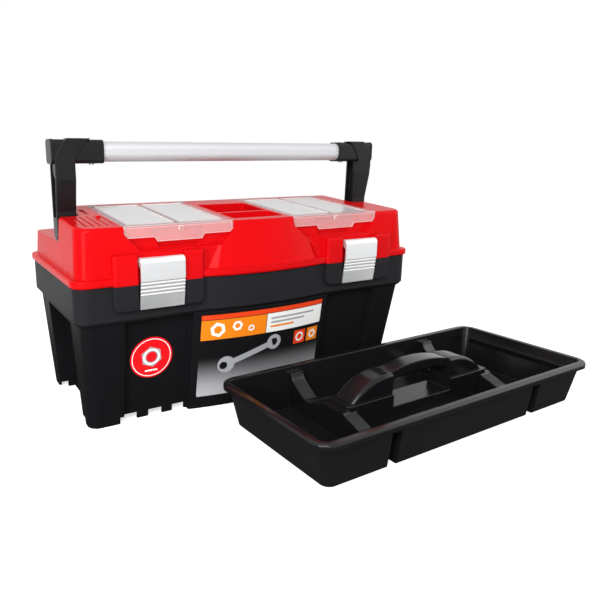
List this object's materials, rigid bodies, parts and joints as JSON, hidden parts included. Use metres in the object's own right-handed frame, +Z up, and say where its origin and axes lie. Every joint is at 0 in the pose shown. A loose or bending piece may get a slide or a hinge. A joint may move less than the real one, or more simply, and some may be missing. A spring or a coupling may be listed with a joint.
{
  "type": "toolbox with tray",
  "caption": "Long plastic toolbox with a red hinged lid, clear organizer covers, folding bar handle, metal front latches and a loose divided tray standing beside it.",
  "frame": {"origin": "centre of the pad under the box, on the ground plane", "axes": "+Z up, +X along the length of the box to the right as seen from its front, front of the box with its latches towards -Y"},
  "size_m": [0.697, 0.5256, 0.3789],
  "materials": {
    "base_black": "fine moulded grain",
    "lid_red": "semi-gloss moulded polypropylene",
    "cover_clear": "milky translucent polypropylene",
    "aluminium": "satin anodised",
    "handle_black": "fine moulded grain",
    "tray_black": "semi-gloss moulded",
    "pin_steel": "drawn wire",
    "label_print": "gloss-coated printed sheet",
    "sticker_print": "gloss-coated printed sheet"
  },
  "bodies": {
    "base": {"base_shell": "base_black", "lid_hinge_pins": "pin_steel", "front_label": "label_print", "round_sticker": "sticker_print"},
    "lid": {"lid_shell": "lid_red", "handle_pivot_pin_left": "pin_steel", "handle_pivot_pin_right": "pin_steel", "latch_pin_left": "pin_steel", "latch_pin_right": "pin_steel", "cover_hinge_pins_left": "pin_steel", "cover_hinge_pins_right": "pin_steel"},
    "handle": {"handle_bar": "aluminium", "handle_arm_left": "handle_black", "handle_arm_right": "handle_black", "handle_end_cap_left": "handle_black", "handle_end_cap_right": "handle_black", "bar_screws": "pin_steel"},
    "latch_left": {"latch_left": "aluminium"},
    "latch_right": {"latch_right": "aluminium"},
    "cover_left": {"organizer_cover_left": "cover_clear"},
    "cover_right": {"organizer_cover_right": "cover_clear"},
    "tray": {"tray_shell": "tray_black", "tray_handle": "tray_black"}
  },
  "joints": [
    {"name": "lid_hinge", "type": "hinge", "parent": "base", "child": "lid", "pos_m": [0, 0.141, 0.2045], "axis": [-1, 0, 0], "range_deg": [0, 105]},
    {"name": "handle_fold", "type": "hinge", "parent": "lid", "child": "handle", "pos_m": [0, -0.017, 0.258], "axis": [-1, 0, 0], "range_deg": [0, 90]},
    {"name": "latch_left_swing", "type": "hinge", "parent": "lid", "child": "latch_left", "pos_m": [-0.1621, -0.1345, 0.2285], "axis": [-1, 0, 0], "range_deg": [0, 95]},
    {"name": "latch_right_swing", "type": "hinge", "parent": "lid", "child": "latch_right", "pos_m": [0.1621, -0.1345, 0.2285], "axis": [-1, 0, 0], "range_deg": [0, 95]},
    {"name": "cover_left_hinge", "type": "hinge", "parent": "lid", "child": "cover_left", "pos_m": [-0.1275, 0.0466, 0.28267], "axis": [-1, 0, 0], "range_deg": [0, 35]},
    {"name": "cover_right_hinge", "type": "hinge", "parent": "lid", "child": "cover_right", "pos_m": [0.1275, 0.0466, 0.28267], "axis": [-1, 0, 0], "range_deg": [0, 35]},
    {"name": "tray_lift", "type": "slide", "parent": "base", "child": "tray", "axis": [0, 0, 1], "range_m": [0, 0.1]}
  ]
}
